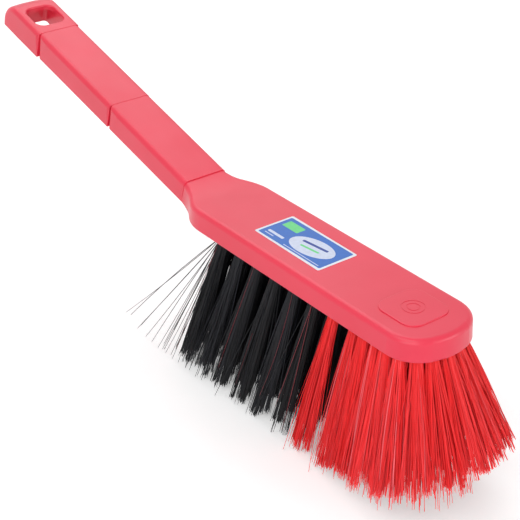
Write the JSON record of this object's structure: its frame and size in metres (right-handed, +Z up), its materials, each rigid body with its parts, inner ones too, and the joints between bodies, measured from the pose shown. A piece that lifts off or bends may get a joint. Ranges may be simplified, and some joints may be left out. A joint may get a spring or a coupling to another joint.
{
  "type": "hand broom",
  "caption": "Hand broom with a long rounded head, a raised handle with a hanging eye, and black and red bristle tufts that fan out below.",
  "frame": {"origin": "on the floor under the bristle tips, below the middle of the whole broom's length and width", "axes": "+X from the handle to the nose of the head, +Y to the broom's left seen from the handle, +Z up out of the head's top face"},
  "size_m": [0.3516, 0.0592, 0.1321],
  "materials": {
    "stock": "satin red moulded plastic",
    "black_bristle": "soft sheen on fine filaments",
    "red_bristle": "soft sheen on fine filaments",
    "anchor": "plain rolled strip",
    "sticker": "glossy printed sheet"
  },
  "bodies": {
    "root": {"black_tuft_01": "black_bristle", "black_tuft_02": "black_bristle", "black_tuft_03": "black_bristle", "black_tuft_04": "black_bristle", "black_tuft_05": "black_bristle", "black_tuft_06": "black_bristle", "black_tuft_07": "black_bristle", "black_tuft_08": "black_bristle", "black_tuft_09": "black_bristle", "black_tuft_10": "black_bristle", "black_tuft_11": "black_bristle", "black_tuft_12": "black_bristle", "black_tuft_13": "black_bristle", "black_tuft_14": "black_bristle", "black_tuft_15": "black_bristle", "black_tuft_16": "black_bristle", "black_tuft_17": "black_bristle", "black_tuft_18": "black_bristle", "black_tuft_19": "black_bristle", "black_tuft_20": "black_bristle", "black_tuft_21": "black_bristle", "black_tuft_22": "black_bristle", "black_tuft_23": "black_bristle", "black_tuft_24": "black_bristle", "black_tuft_25": "black_bristle", "black_tuft_26": "black_bristle", "black_tuft_27": "black_bristle", "black_tuft_28": "black_bristle", "black_tuft_29": "black_bristle", "black_tuft_30": "black_bristle", "black_tuft_31": "black_bristle", "black_tuft_32": "black_bristle", "black_tuft_33": "black_bristle", "black_tuft_34": "black_bristle", "black_tuft_35": "black_bristle", "black_tuft_36": "black_bristle", "red_tuft_01": "red_bristle", "red_tuft_02": "red_bristle", "red_tuft_03": "red_bristle", "red_tuft_04": "red_bristle", "red_tuft_05": "red_bristle", "red_tuft_06": "red_bristle", "red_tuft_07": "red_bristle", "red_tuft_08": "red_bristle", "red_tuft_09": "red_bristle", "red_tuft_10": "red_bristle", "red_tuft_11": "red_bristle", "red_tuft_12": "red_bristle", "red_tuft_13": "red_bristle", "red_tuft_14": "red_bristle", "red_tuft_15": "red_bristle", "red_tuft_16": "red_bristle", "red_tuft_17": "red_bristle", "sticker": "sticker", "stock": "stock", "tuft_anchors": "anchor"}
  },
  "joints": []
}
